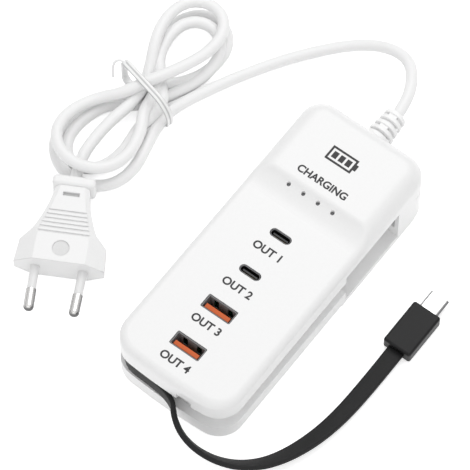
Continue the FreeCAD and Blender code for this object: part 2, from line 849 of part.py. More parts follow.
def plug_body():
    shoulder_y = plug_block_length + plug_shoulder_length
    neck_end = plug_length - collar_length
    middle_y = (shoulder_y + neck_end) / 2
    middle_width = neck_tip_width + (neck_width - neck_tip_width) * neck_middle_share
    middle_thickness = (plug_thickness + neck_tip_thickness) / 2
    side_share = plug_side_height / plug_thickness
    block = Part.makeLoft([
        plug_section(0, plug_width, plug_flat_width, plug_thickness, plug_side_height),
        plug_section(plug_block_length, plug_width - plug_taper, plug_flat_width, plug_thickness,
                     plug_side_height),
        plug_section(shoulder_y, neck_width, plug_flat_width - plug_taper, plug_thickness,
                     2 * plug_side_height),
    ], True, True)
    neck = Part.makeLoft([
        plug_section(shoulder_y, neck_width, plug_flat_width - plug_taper, plug_thickness,
                     2 * plug_side_height),
        plug_section(middle_y, middle_width, middle_width - 2 * neck_bevel, middle_thickness,
                     2 * side_share * middle_thickness),
        plug_section(neck_end, neck_tip_width, neck_tip_width - 2 * neck_bevel, neck_tip_thickness,
                     2 * side_share * neck_tip_thickness),
    ], True, False)
    collar = box(-collar_width / 2, collar_width / 2, neck_end, plug_length, -collar_thickness / 2,
                 collar_thickness / 2)
    collar = collar.makeFillet(collar_edge_radius, collar.Edges)
    body = join([block, neck, collar])
    cuts = [upright(0, recess_from_face, plug_thickness / 2 - recess_depth, plug_thickness, recess_radius)]
    half_groove = rib_groove / 2
    for i in range(rib_count):
        y = rib_start + i * rib_pitch
        top = neck_top(max(y, shoulder_y), shoulder_y, middle_y, neck_end, middle_thickness)
        groove = box(-plug_width, plug_width, y - half_groove, y + half_groove, top - rib_groove_depth,
                     plug_thickness)
        cuts += [groove, groove.mirror(vec(0, 0, 0), vec(0, 0, 1))]
    slot_top = neck_top(slot_from_face, shoulder_y, middle_y, neck_end, middle_thickness)
    cuts.append(box(-slot_width / 2, slot_width / 2, slot_from_face - slot_length / 2,
                    slot_from_face + slot_length / 2, slot_top - slot_depth, plug_thickness))
    return body.cut(cuts + pins() + sleeves())


def neck_top(y, shoulder_y, middle_y, neck_end, middle_thickness):
    """Half the neck's thickness at y, on the straight line between its sections."""
    if y < middle_y:
        share = (y - shoulder_y) / (middle_y - shoulder_y)
        return (plug_thickness + share * (middle_thickness - plug_thickness)) / 2
    share = (y - middle_y) / (neck_end - middle_y)
    return (middle_thickness + share * (neck_tip_thickness - middle_thickness)) / 2


def loop_band(x, y, radius, opening):
    """One loop of the tied hank: a round end that narrows to the waist, with its opening."""
    outer = Part.makeCylinder(radius, hank_height, vec(x, y, 0))
    inner = Part.makeCylinder(opening, hank_height, vec(x, y, 0))
    reach = 1 if y > tie_y else -1
    away = abs(y - tie_y)

    def wedge(near, near_half, far_half):
        corners = [(tie_x - near_half, tie_y + reach * near), (tie_x + near_half, tie_y + reach * near),
                   (x + far_half, y), (x - far_half, y)]
        face = Part.Face(Part.makePolygon([vec(px, py, 0) for px, py in corners + corners[:1]]))
        return face.extrude(vec(0, 0, hank_height))

    band = join([outer, wedge(0, waist_half_width - cord_diameter / 2, radius)])
    start = min(waist_half_length + 2 * cord_diameter, away / 2)
    return band.cut(join([inner, wedge(start, tie_thickness, opening)]))


def cord_hank():
    """The outer shape of the tied turns: two open loops and a narrow waist under the tie."""
    waist = at_tie(round_bar(waist_half_width, waist_half_length, 0, hank_height,
                             tie_corner_radius - tie_thickness))
    hank = join([waist, loop_band(lower_loop_x, lower_loop_y, lower_loop_radius, lower_opening_radius),
                 loop_band(upper_loop_x, upper_loop_y, upper_loop_radius, upper_opening_radius)])
    room = cord_diameter / 2 + cord_clearance
    return hank.cut([cord_tie(), tube(rounded_path(lead_route)[0], room),
                     tube(rounded_path(tail_points())[0], room)])


def tail_points():
    """The tail's route, which ends straight into the plug."""
    return tail_route + [plug_place(0, plug_length + plug_approach), plug_place(0, plug_length)]


def round_bar(half_width, half_length, z0, z1, radius):
    """A bar along Y with round long edges."""
    bar = box(-half_width, half_width, -half_length, half_length, z0, z1)
    return bar.makeFillet(radius, [e for e in bar.Edges if abs(e.Vertexes[0].Y - e.Vertexes[1].Y) > 1e-6])


def tie_strap():
    """The tie's flat strap round the waist, in the tie's own frame."""
    band = round_bar(waist_half_width + tie_thickness, tie_width / 2, 0, hank_height + tie_thickness,
                     tie_corner_radius)
    inner = round_bar(waist_half_width, tie_width, tie_thickness, hank_height,
                      tie_corner_radius - tie_thickness)
    return band.cut(inner)


def at_tie(shape):
    """Moves a shape from the tie's own frame, with the strap along X, to where the tie lies."""
    shape = shape.copy()
    shape.rotate(vec(0, 0, 0), vec(0, 0, 1), tie_turn_deg)
    shape.translate(vec(tie_x, tie_y, 0))
    return shape


def cord_tie():
    """The strap, with its ends twisted together into a short tapered tail."""
    drop = math.radians(tie_twist_drop_deg)
    root = vec(-waist_half_width, 0, hank_height - tie_corner_radius)
    twist = Part.makeCone(tie_twist_radius, tie_twist_tip_radius, tie_twist_length, root,
                          vec(-math.cos(drop), 0, -math.sin(drop)))
    inside = round_bar(waist_half_width, tie_width, tie_thickness, hank_height,
                       tie_corner_radius - tie_thickness)
    return at_tie(join([tie_strap(), twist.cut(inside)]))


def cable_anchor():
    """A moulded block at the groove's end that the cable leaves, with a stem through to the board."""
    inner_x = -side_x + groove_depth
    half = groove_height / 2 - anchor_clearance
    block = box(inner_x - cable_thickness - 2 * anchor_clearance, inner_x,
                groove_left_end_y - anchor_length, groove_left_end_y, groove_middle - half,
                groove_middle + half)
    middle_y = groove_left_end_y - anchor_length / 2
    stem_half = anchor_stem_height / 2 - anchor_clearance / 2
    stem = box(inner_x, port_board_left, middle_y - stem_half, middle_y + stem_half,
               groove_middle - stem_half, groove_middle + stem_half)
    return join([block, stem])


def charging_cable():
    """A flat cable on edge in the groove, which turns over to lie flat where it reaches its connector."""
    path, radii = rounded_path(cable_route)
    print("cable length", round(path.Length, 1), "radii", [round(r, 1) for r in radii])
    start = vec(*cable_route[cable_twist_start])
    places = []
    for edge in path.OrderedEdges:
        pieces = max(1, round(edge.Length / cable_width * 1.5))
        points = edge.discretize(pieces + 1)
        if places and (points[0] - places[-1]).Length > (points[-1] - places[-1]).Length:
            points.reverse()
        places += points if not places else points[1:]
    nearest = min(range(len(places)), key=lambda i: (places[i] - start).Length)
    sections = []
    for i, place in enumerate(places):
        tangent = places[min(i + 1, len(places) - 1)] - places[max(i - 1, 0)]
        share = min(1.0, max(0.0, (i - nearest) / (len(places) - 1 - nearest)))
        turn = math.pi / 2 * (1 - share)
        flat = tangent.cross(vec(0, 0, 1))
        flat.normalize()
        rise = flat.cross(tangent)
        rise.normalize()
        across = flat * math.cos(turn) + rise * math.sin(turn)
        through = rise * math.cos(turn) - flat * math.sin(turn)
        a, b = across * (cable_width / 2), through * (cable_thickness / 2)
        corners = [place + a + b, place - a + b, place - a - b, place + a - b]
        sections.append(Part.makePolygon(corners + corners[:1]))
    solid = Part.makeLoft(sections, True, True)
    print("cable volume over section times length",
          round(solid.Volume / (cable_width * cable_thickness * path.Length), 4))
    return solid


def connector_bar(width, thickness, y0, y1):
    """A bar along Y with round sides, the outline of a USB-C plug's shell."""
    straight, radius = (width - thickness) / 2, thickness / 2
    bar = box(connector_x - straight, connector_x + straight, y0, y1, connector_z - radius,
              connector_z + radius)
    ends = [Part.makeCylinder(radius, y1 - y0, vec(connector_x + side * straight, y0, connector_z),
                              vec(0, 1, 0)) for side in (-1, 1)]
    return join([bar, *ends])


def connector_housing():
    half = connector_width / 2
    body = box(connector_x - half, connector_x + half, connector_y, connector_y + connector_length,
               connector_z - connector_thickness / 2, connector_z + connector_thickness / 2)
    return body.makeFillet(connector_edge_radius, body.Edges)


def connector_shell():
    y0 = connector_y + connector_length
    y1 = y0 + connector_shell_length
    tube_bar = connector_bar(connector_shell_width, connector_shell_thickness, y0, y1)
    inner = connector_bar(connector_shell_width - 2 * connector_metal,
                          connector_shell_thickness - 2 * connector_metal, y0 - 1, y1 + 1)
    return tube_bar.cut(inner)


def connector_insert():
    y0 = connector_y + connector_length
    y1 = y0 + connector_shell_length - connector_metal
    width = connector_shell_width - 2 * connector_metal
    thickness = connector_shell_thickness - 2 * connector_metal
    insert = connector_bar(width, thickness, y0, y1)
    mouth = connector_bar(usb_c_tongue_width + connector_metal,
                          usb_c_tongue_thickness + 2 * contact_thickness, y1 - connector_insert_depth,
                          y1 + 1)
    return insert.cut(mouth)


def build():
    nodes = {
        "top_cover": top_cover(), "bottom_shell": bottom_shell(), "case_screws": case_screws(),
        "port_board": port_board(), "main_board": main_board(), "board_header": board_header(),
        "leds": leds(),
        "light_pipes": light_pipes(), "transformer_core": transformer_core(),
        "transformer_winding": transformer_winding(), "bulk_capacitors": bulk_capacitors(),
        "filter_choke": filter_choke(), "suppression_capacitor": suppression_capacitor(),
        "output_capacitors": output_capacitors(), "port_controllers": port_controllers(),
        "bridge_rectifier": bridge_rectifier(), "power_transistor": power_transistor(), "fuse": fuse(),
        "live_lead": inner_lead(1), "neutral_lead": inner_lead(-1), "strain_relief": strain_relief(),
        "mains_cord": cord_tube("mains cord", lead_route), "cord_hank": cord_hank(),
        "cord_tail": cord_tube("cord tail", tail_points()), "cord_tie": cord_tie(),
        "plug_body": along_plug(plug_body()),
        "cable_anchor": cable_anchor(),
        "charging_cable": charging_cable(), "connector_housing": connector_housing(),
        "connector_shell": connector_shell(), "connector_insert": connector_insert(),
    }
    for i, (pin, sleeve) in enumerate(zip(pins(), sleeves()), 1):
        nodes[f"plug_pin_{i}"] = along_plug(pin)
        nodes[f"pin_sleeve_{i}"] = along_plug(sleeve)
    for i, y in enumerate(port_y[:2], 1):
        nodes[f"usb_a_shell_{i}"] = usb_a_shell(y)
        nodes[f"usb_a_tongue_{i}"] = usb_a_tongue(y)
        nodes[f"usb_a_contacts_{i}"] = usb_a_contacts(y)
    for i, y in enumerate(port_y[2:], 1):
        nodes[f"usb_c_shell_{i}"] = usb_c_shell(y)
        nodes[f"usb_c_tongue_{i}"] = usb_c_tongue(y)
        nodes[f"usb_c_contacts_{i}"] = usb_c_contacts(y)
    return nodes


os.makedirs("parts", exist_ok=True)
for node, shape in build().items():
    if not shape.isValid():
        raise ValueError(f"{node} isn't valid")
    shape.exportStep(f"parts/{node}.step")
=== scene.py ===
"""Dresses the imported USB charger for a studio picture.

The scene is in metres, in the solids' own frame. Sizes below are in millimetres, or in metres where a name
ends in _M.
"""
import math

import bmesh
import bpy
from mathutils import Matrix, Vector


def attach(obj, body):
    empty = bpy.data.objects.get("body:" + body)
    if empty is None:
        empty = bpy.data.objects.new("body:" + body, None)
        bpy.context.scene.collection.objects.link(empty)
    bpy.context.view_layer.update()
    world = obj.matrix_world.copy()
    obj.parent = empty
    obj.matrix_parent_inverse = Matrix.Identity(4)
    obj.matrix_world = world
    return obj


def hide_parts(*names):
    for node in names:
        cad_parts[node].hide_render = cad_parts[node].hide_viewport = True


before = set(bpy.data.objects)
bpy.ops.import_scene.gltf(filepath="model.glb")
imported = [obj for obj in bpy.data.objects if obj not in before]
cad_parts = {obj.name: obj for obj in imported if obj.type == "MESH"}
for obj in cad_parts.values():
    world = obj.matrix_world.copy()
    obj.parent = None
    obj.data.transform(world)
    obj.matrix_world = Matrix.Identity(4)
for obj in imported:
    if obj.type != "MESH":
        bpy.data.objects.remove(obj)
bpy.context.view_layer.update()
MM = 0.001

# Camera: the viewing angle and scale of the photograph, whose frame is 470 pixels square
FRAME_PIXELS = 470
PIXELS_PER_MM = 2.6
ORIGIN_PIXEL = (270.5, 284.5)
AZIMUTH_DEG = 37.1
ELEVATION_DEG = 62.6
CAMERA_DISTANCE = 1500.0
SENSOR = 36.0
CLIP_NEAR_M = 0.05
CLIP_FAR_M = 10.0

# Case
DECK_Z = 27.0
PANEL_Z = 31.0
FRONT_Y = -66.15
PARTING_Z = 16.4
GROOVE_MIDDLE_Z = 12.4
PORT_X = -1.2
PORT_Y = [-50.05, -30.8, -11.55, 7.7]

# Mains lead
SPLINE_STEPS = 10
CORD_D = 4.8
CORD_FACETS = 6
FLOOR_Z = CORD_D / 2
RELIEF_END = (0.0, 81.15, PARTING_Z)
LEAD_ROUTE = [RELIEF_END, (-0.6, 89.0, PARTING_Z), (-4.8, 99.0, 15.4), (-11.6, 106.2, 13.2),
              (-20.2, 108.0, 10.4), (-29.0, 106.2, 7.4), (-37.6, 101.0, 5.0), (-45.8, 93.0, 3.3),
              (-53.8, 83.1, FLOOR_Z), (-61.2, 70.9, FLOOR_Z), (-68.0, 57.8, FLOOR_Z)]
TAIL_ROUTE = [(-90.6, 18.1, 7.2), (-91.0, 7.6, 7.2), (-90.0, -3.85, 6.85), (-85.2, -12.6, 6.85)]

# Hank: loops as (root, tip, half width, heights at the start, tip and end), in the order that the cord
# runs through them, and where each strand passes the tie, as steps from the hank's middle and a height
HANK_MIDDLE = (-86.0, 36.65)
LOOP_STEPS = 9
LOOP_START_RAD = 1.3
LOOP_BULGE = 1.3
LOOPS = [
    ((-86.0, 38.65), (-90.6, -10.75), 17.4, FLOOR_Z, FLOOR_Z, FLOOR_Z),
    ((-89.0, 36.65), (-86.2, 80.65), 12.6, FLOOR_Z, FLOOR_Z, FLOOR_Z),
    ((-88.8, 38.65), (-92.2, -5.35), 11.0, FLOOR_Z, FLOOR_Z, FLOOR_Z),
    ((-84.4, 36.65), (-85.6, 74.65), 10.8, FLOOR_Z, 7.0, 7.2),
    ((-89.8, 37.65), (-90.8, -8.8), 15.4, 7.2, 12.0, 7.2),
    ((-88.2, 39.15), (-89.2, 81.2), 11.8, 12.0, 10.4, 12.0),
]
CROSSINGS = [
    [(9.6, 1.5, 2.8), (9.4, -8.0, 2.6)],
    [(-10.4, -9.5, 2.8), (-2.4, -1.0, 2.6), (0.6, 7.5, 2.6)],
    [(-6.0, 11.0, 3.6), (2.2, 4.0, 6.6), (6.9, -1.5, 7.0), (6.0, -9.0, 4.8)],
    [(-6.2, -9.5, 2.8), (2.4, -1.5, 2.6), (5.8, 6.5, 2.6)],
    [(-2.2, 9.0, 7.2), (1.6, 0.0, 7.4), (3.2, -9.5, 7.6)],
    [(-7.2, -8.5, 10.6), (-2.6, 0.0, 12.2), (2.0, 8.5, 12.2)],
    [(-6.8, 8.0, 8.0), (-3.4, 0.0, 7.4), (-3.0, -9.5, 7.4)],
]

# Charging cable
CABLE_WIDTH = 7.0
CABLE_THICKNESS = 2.0
CABLE_CORNER = 0.7
CABLE_EXIT = (4.6, FRONT_Y - 1.0, GROOVE_MIDDLE_Z)
CABLE_ROUTE = [(-26.0, -45.85, GROOVE_MIDDLE_Z), (-26.0, FRONT_Y + 2.1, GROOVE_MIDDLE_Z),
               (-3.4, FRONT_Y + 1.5, GROOVE_MIDDLE_Z), CABLE_EXIT, (7.4, FRONT_Y - 4.4, 10.8),
               (13.6, FRONT_Y - 8.0, 9.0), (21.6, FRONT_Y - 9.2, 7.6), (30.6, FRONT_Y - 7.6, 6.4),
               (39.0, FRONT_Y - 3.2, 5.6), (46.2, FRONT_Y + 4.6, 4.8), (51.6, FRONT_Y + 16.6, 4.0),
               (55.0, FRONT_Y + 31.6, 3.2), (56.0, FRONT_Y + 50.6, 2.6), (55.9, FRONT_Y + 70.9, 3.0)]

# Tie: corners as (across, height, radius, angle at the start), and a profile of two joined strands as shares
# of the width and thickness, with the faces in its groove and along its edges, which carry painted shade
TIE_MIDDLE = (-85.9, 34.4)
TIE_TURN_DEG = -14.0
TIE_WIDTH = 3.2
TIE_THICKNESS = 1.0
TIE_LEFT = -15.0
TIE_RIGHT = 13.9
TIE_LOW = 0.6
TIE_TOP = 14.95
TIE_CORNERS = [(TIE_RIGHT, TIE_LOW, 4.0, 270), (TIE_RIGHT, TIE_TOP, 8.5, 0), (TIE_LEFT, TIE_TOP, 1.8, 90),
               (TIE_LEFT, TIE_LOW, 3.0, 180)]
TIE_CORNER_STEPS = 8
TIE_PROFILE = [(-0.5, -0.1), (-0.42, 0.3), (-0.26, 0.5), (-0.1, 0.3), (0, -0.05), (0.1, 0.3), (0.26, 0.5),
               (0.42, 0.3), (0.5, -0.1), (0.3, -0.5), (-0.3, -0.5)]
TIE_PAINTED_SHADE_FACES = (0, 3, 4, 7)
TIE_END_D = 1.1
TIE_END_FACETS = 4
TIE_END_ROUTE = [(-99.3, 37.6, 14.6), (-101.1, 37.4, 15.4), (-103.1, 35.6, 15.0), (-102.7, 33.4, 12.6),
                 (-101.3, 31.8, 9.4)]

# Round recess on top of the plug, with rings as (share of the radius, lift)
RECESS_AT = (-69.39, -41.46)
RECESS_R = 3.2
RECESS_Z = 13.3
RECESS_STEPS = 48
RECESS_RINGS = [(0.35, 0.02), (0.8, 0.03), (1.0, 0.05)]

# Slot on the plug's neck, with rings as (inset, lift)
SLOT_AT = (-81.11, -20.06)
SLOT_Z = 10.97
SLOT_WIDTH = 6.3
SLOT_LENGTH = 1.6
SLOT_CORNER = 0.6
SLOT_TURN_DEG = 28.7
SLOT_RINGS = [(0.4, 0.02), (0.15, 0.03), (0.0, 0.06)]

# Printed marks
PRINT_LIFT = 0.02
PRINT_BOLD = 0.14
LABEL_SIZE = 4.6
LABEL_DROP = 8.2
LIGHT_LABEL_SIZE = 4.4
LIGHT_LABEL_Y = 34.05
BATTERY_AT = (PORT_X, 46.65)
BATTERY_SIZE = (12.0, 6.6)
BATTERY_LINE = 0.9
BATTERY_NUB = (1.1, 2.8)
BATTERY_BARS = 3

# Materials
GRAIN_DETAIL = 4.0
GRAIN_HEIGHT = 0.1
EDGE_SAMPLES = 6
COAT_ROUGHNESS = 0.12
PLASTIC_ROUGHNESS = (0.85, 1.15)
METAL_ROUGHNESS = (0.7, 1.4)
PLATE_ROUGHNESS = (0.8, 1.3)
# Painted shade in hollows: occlusion samples, how dark the colour gets, and where on the occlusion it starts
# and ends
HOLLOW_SAMPLES = 8
PAINTED_HOLLOW_SHADE = 0.45
HOLLOW_TURN = (0.2, 0.6)

# Floor, sky and lamps: lamps as (name, place, width, watts), in metres
FLOOR_GREY = 0.96
FLOOR_ROUGHNESS = 0.9
FLOOR_GLOW = 0.5
FLOOR_HALF_M = 3.0
SKY_LOW = 0.45
SKY_OVERHEAD = 0.86
LAMP_AIM_M = (-0.02, 0.01, 0.01)
LAMPS_M = [("key", (-0.2, 0.55, 0.92), 1.0, 3.9), ("fill", (0.45, -0.9, 0.45), 1.6, 3.1)]


def place(point):
    return Vector(point) * MM


def link(obj):
    bpy.context.scene.collection.objects.link(obj)
    return obj


def mesh_object(name, bm, material, smooth=True):
    mesh = bpy.data.meshes.new(name)
    bm.normal_update()
    bm.to_mesh(mesh)
    bm.free()
    for polygon in mesh.polygons:
        polygon.use_smooth = smooth
    obj = link(bpy.data.objects.new(name, mesh))
    obj.data.materials.append(material)
    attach(obj, "root")
    return obj


def skin(bm, rings, closed=False):
    """Joins each ring of points to the next by faces, given as (place in the ring, face) pairs."""
    following = rings[1:] + rings[:1] if closed else rings[1:]
    faces = []
    for first, second in zip(rings, following):
        for i in range(len(first)):
            j = (i + 1) % len(first)
            faces.append((i, bm.faces.new((first[i], first[j], second[j], second[i]))))
    return faces


def upright_at(point, turn_deg):
    """The move that turns a shape about the vertical and carries it to a point."""
    return Matrix.Translation(place(point)) @ Matrix.Rotation(math.radians(turn_deg), 4, "Z")


def make_camera():
    a, e = math.radians(AZIMUTH_DEG), math.radians(ELEVATION_DEG)
    back = Vector((math.sin(a) * math.cos(e), -math.cos(a) * math.cos(e), math.sin(e)))
    right = Vector((math.cos(a), math.sin(a), 0))
    up = back.cross(right)
    middle = FRAME_PIXELS / 2
    aside = (middle - ORIGIN_PIXEL[0]) / PIXELS_PER_MM
    above = (ORIGIN_PIXEL[1] - middle) / PIXELS_PER_MM
    data = bpy.data.cameras.new("camera")
    data.sensor_width = SENSOR
    data.lens = SENSOR * CAMERA_DISTANCE * PIXELS_PER_MM / FRAME_PIXELS
    data.clip_start, data.clip_end = CLIP_NEAR_M, CLIP_FAR_M
    camera = link(bpy.data.objects.new("camera", data))
    camera.location = (right * aside + up * above + back * CAMERA_DISTANCE) * MM
    camera.rotation_mode = "QUATERNION"
    camera.rotation_quaternion = (-back).to_track_quat("-Z", "Y")
    bpy.context.scene.camera = camera


def nurbs(name, points):
    """A curve that follows the points as the control points of one smooth spline."""
    data = bpy.data.curves.new(name, "CURVE")
    data.dimensions = "3D"
    data.resolution_u = SPLINE_STEPS
    spline = data.splines.new("NURBS")
    spline.points.add(len(points) - 1)
    for target, point in zip(spline.points, points):
        target.co = (*place(point), 1.0)
    spline.order_u = 3
    spline.use_endpoint_u = True
    return link(bpy.data.objects.new(name, data))


def loop_points(root, tip, half_width, start_z, tip_z, end_z):
    """One loop of the hank, a drop shape that leaves its root on the right and comes back on the left."""
    axis = Vector(tip) - Vector(root)
    reach = axis.length
    axis.normalize()
    across = Vector((-axis.y, axis.x)) if axis.y < 0 else Vector((axis.y, -axis.x))
    hump = tip_z - (start_z + end_z) / 2
    points = []
    for i in range(LOOP_STEPS):
        share = i / (LOOP_STEPS - 1)
        turn = LOOP_START_RAD + (2 * math.pi - 2 * LOOP_START_RAD) * share
        along = reach * (1 - math.cos(turn)) / 2
        aside = half_width * LOOP_BULGE * math.sin(turn) * math.sin(turn / 2)
        at = Vector(root) + axis * along + across * aside
        base_z = start_z + (end_z - start_z) * share
        points.append((at.x, at.y, base_z + hump * math.sin(math.pi * share)))
    return points


def mains_route():
    def crossing(i):
        return [(HANK_MIDDLE[0] + dx, HANK_MIDDLE[1] + dy, z) for dx, dy, z in CROSSINGS[i]]

    route = list(LEAD_ROUTE)
    for i, loop in enumerate(LOOPS):
        route += crossing(i) + loop_points(*loop)
    return route + crossing(len(LOOPS)) + TAIL_ROUTE


def make_mains_cord(material):
    cord = nurbs("mains_lead", mains_route())
    cord.data.bevel_depth = CORD_D / 2 * MM
    cord.data.bevel_resolution = CORD_FACETS
    cord.data.materials.append(material)
    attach(cord, "root")
    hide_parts("mains_cord", "cord_hank", "cord_tail")
    return cord


def spline_points(points):
    """Points along the smooth spline that has these control points."""
    guide = nurbs("guide", points)
    mesh = bpy.data.meshes.new_from_object(guide)
    line = [v.co.copy() for v in mesh.vertices]
    bpy.data.objects.remove(guide)
    bpy.data.meshes.remove(mesh)
    return line


def rounded_section(width, thickness, radius, steps=4):
    """The outline of a flat section with round corners, as (across, through) pairs."""
    corners = [(1, 1, 0), (-1, 1, 90), (-1, -1, 180), (1, -1, 270)]
    outline = []
    for sx, sy, start in corners:
        for i in range(steps + 1):
            angle = math.radians(start + 90 * i / steps)
            outline.append((sx * (width / 2 - radius) + radius * math.cos(angle),
                            sy * (thickness / 2 - radius) + radius * math.sin(angle)))
    return outline


def make_charging_cable(material):
    """The flat cable: upright in the groove, and turned over to lie flat where it reaches the connector."""
    line = spline_points(CABLE_ROUTE)
    section = rounded_section(CABLE_WIDTH, CABLE_THICKNESS, CABLE_CORNER)
    leave = min(range(len(line)), key=lambda i: (line[i] - place(CABLE_EXIT)).length)
    bm = bmesh.new()
    rings = []
    for i, at in enumerate(line):
        ahead = line[min(i + 1, len(line) - 1)] - line[max(i - 1, 0)]
        share = min(1.0, max(0.0, (i - leave) / (len(line) - 1 - leave)))
        turn = math.pi / 2 * (1 - share)
        flat = ahead.cross(Vector((0, 0, 1))).normalized()
        rise = flat.cross(ahead).normalized()
        across = flat * math.cos(turn) + rise * math.sin(turn)
        through = rise * math.cos(turn) - flat * math.sin(turn)
        rings.append([bm.verts.new(at + (across * a + through * b) * MM) for a, b in section])
    skin(bm, rings)
    bm.faces.new(reversed(rings[0]))
    bm.faces.new(rings[-1])
    bmesh.ops.recalc_face_normals(bm, faces=bm.faces)
    cable = mesh_object("flat_cable", bm, material)
    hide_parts("charging_cable")
    return cable, line


def tie_loop():
    """Points round the bundle, each with its outward direction."""
    loop = []
    for x, z, radius, start in TIE_CORNERS:
        middle = Vector((x - math.copysign(radius, x), 0, z - radius if z == TIE_TOP else z + radius))
        for i in range(TIE_CORNER_STEPS + 1):
            angle = math.radians(start + 90 * i / TIE_CORNER_STEPS)
            normal = Vector((math.cos(angle), 0, math.sin(angle)))
            loop.append((middle + normal * radius, normal))
    return loop


def make_tie_strap(material, painted_shade_material):
    """A strip of two joined strands, bent round the bundle."""
    bm = bmesh.new()
    rings = []
    for at, normal in tie_loop():
        rings.append([bm.verts.new((at + normal * n * TIE_THICKNESS + Vector((0, w * TIE_WIDTH, 0))) * MM)
                      for w, n in TIE_PROFILE])
    for i, face in skin(bm, rings, closed=True):
        # Faces in the groove and along the edges take the second material: a darker grey, painted shade
        face.material_index = int(i in TIE_PAINTED_SHADE_FACES)
    bm.transform(upright_at((*TIE_MIDDLE, 0), TIE_TURN_DEG))
    bmesh.ops.recalc_face_normals(bm, faces=bm.faces)
    strap = mesh_object("tie_strap", bm, material)
    strap.data.materials.append(painted_shade_material)
    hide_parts("cord_tie")
    return strap


def make_tie_end(material):
    """The free end of the tie, curled at the far side of the bundle."""
    curl = nurbs("tie_end", TIE_END_ROUTE)
    curl.data.bevel_depth = TIE_END_D / 2 * MM
    curl.data.bevel_resolution = TIE_END_FACETS
    curl.data.use_fill_caps = True
    curl.data.materials.append(material)
    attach(curl, "root")
    return curl


def make_dish(name, outlines, move, material):
    """A shallow floor that rises towards its edge, from level outlines, the innermost first."""
    bm = bmesh.new()
    rings = [[bm.verts.new(place(point)) for point in outline] for outline in outlines]
    bm.faces.new(rings[0])
    skin(bm, rings[::-1])
    bm.transform(move)
    dish = mesh_object(name, bm, material)


def make_recess_face(material):
    """The stippled floor of the plug's round recess."""
    angles = [2 * math.pi * i / RECESS_STEPS for i in range(RECESS_STEPS)]
    outlines = []
    for share, lift in RECESS_RINGS:
        radius = RECESS_R * share
        outlines.append([(radius * math.cos(angle), radius * math.sin(angle), lift) for angle in angles])
    make_dish("recess_face", outlines, upright_at((*RECESS_AT, RECESS_Z), 0), material)


def make_slot_face(material):
    """The floor of the slot on the plug's neck, which carries a darker grey as painted shade."""
    outlines = []
    for inset, lift in SLOT_RINGS:
        section = rounded_section(SLOT_WIDTH - 2 * inset, SLOT_LENGTH - 2 * inset, SLOT_CORNER - inset)
        outlines.append([(x, y, lift) for x, y in section])
    make_dish("slot_face", outlines, upright_at((*SLOT_AT, SLOT_Z), SLOT_TURN_DEG), material)


def text_mark(name, words, at, size, material):
    """A printed word, centred on a point of a level face."""
    data = bpy.data.curves.new(name, "FONT")
    data.body = words
    data.size = size * MM
    data.align_x, data.align_y = "CENTER", "CENTER"
    data.extrude = PRINT_LIFT / 2 * MM
    data.offset = PRINT_BOLD * MM
    text = bpy.data.objects.new(name, data)
    mesh = bpy.data.meshes.new_from_object(text)
    bpy.data.objects.remove(text)
    mesh.transform(Matrix.Translation(place(at) + place((0, 0, PRINT_LIFT))))
    mesh.materials.clear()
    mesh.materials.append(material)
    mark = link(bpy.data.objects.new(name, mesh))
    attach(mark, "root")


def flat_mark(name, boxes, z, material):
    """Printed bars, each (x0, x1, y0, y1), on a level face."""
    bm = bmesh.new()
    for x0, x1, y0, y1 in boxes:
        size = Matrix.Diagonal((*place((x1 - x0, y1 - y0, PRINT_LIFT)), 1))
        at = Matrix.Translation(place(((x0 + x1) / 2, (y0 + y1) / 2, z + PRINT_LIFT)))
        bmesh.ops.create_cube(bm, size=1, matrix=at @ size)
    mesh_object(name, bm, material, smooth=False)


def battery_bars():
    """A plain battery sign: a frame, its nub at the right, and bars inside."""
    (x, y), (width, height), edge = BATTERY_AT, BATTERY_SIZE, BATTERY_LINE
    x0, x1, y0, y1 = x - width / 2, x + width / 2, y - height / 2, y + height / 2
    bars = [(x0, x1, y0, y0 + edge), (x0, x1, y1 - edge, y1), (x0, x0 + edge, y0 + edge, y1 - edge),
            (x1 - edge, x1, y0 + edge, y1 - edge),
            (x1, x1 + BATTERY_NUB[0], y - BATTERY_NUB[1] / 2, y + BATTERY_NUB[1] / 2)]
    pitch = (width - 3 * edge) / BATTERY_BARS
    for i in range(BATTERY_BARS):
        left = x0 + 2 * edge + i * pitch
        bars.append((left, left + pitch - edge, y0 + 2 * edge, y1 - 2 * edge))
    return bars


def make_marks(material):
    flat_mark("battery_sign", battery_bars(), PANEL_Z, material)
    for number, y in enumerate(reversed(PORT_Y), 1):
        at = (PORT_X, y - LABEL_DROP, DECK_Z)
        text_mark(f"port_label_{number}", f"OUT {number}", at, LABEL_SIZE, material)
    text_mark("light_label", "CHARGING", (PORT_X, LIGHT_LABEL_Y, PANEL_Z), LIGHT_LABEL_SIZE, material)


def grey(level):
    return (level, level, level)


def scaled(values, factor):
    return tuple(min(1.0, v * factor) for v in values)


def span_of(value, factors):
    return tuple(value * f for f in factors)


def colour_ramp(tree, share, low, high, turn=(0.0, 1.0)):
    """The colour that a share picks between two colours, which it reaches at the two places in turn."""
    node = tree.nodes.new("ShaderNodeValToRGB")
    for element, position, color in zip(node.color_ramp.elements, turn, (low, high)):
        element.position = position
        element.color = (*color, 1)
    tree.links.new(share, node.inputs["Fac"])
    return node.outputs["Color"]


def height_of(tree, direction):
    """How far a direction points up."""
    node = tree.nodes.new("ShaderNodeSeparateXYZ")
    tree.links.new(direction, node.inputs["Vector"])
    return node.outputs["Z"]


def new_material(name, color, roughness, metallic=0.0):
    material = bpy.data.materials.new(name)
    material.use_nodes = True
    shader = material.node_tree.nodes["Principled BSDF"]
    shader.inputs["Base Color"].default_value = (*color, 1.0)
    shader.inputs["Roughness"].default_value = roughness
    shader.inputs["Metallic"].default_value = metallic
    return material, shader


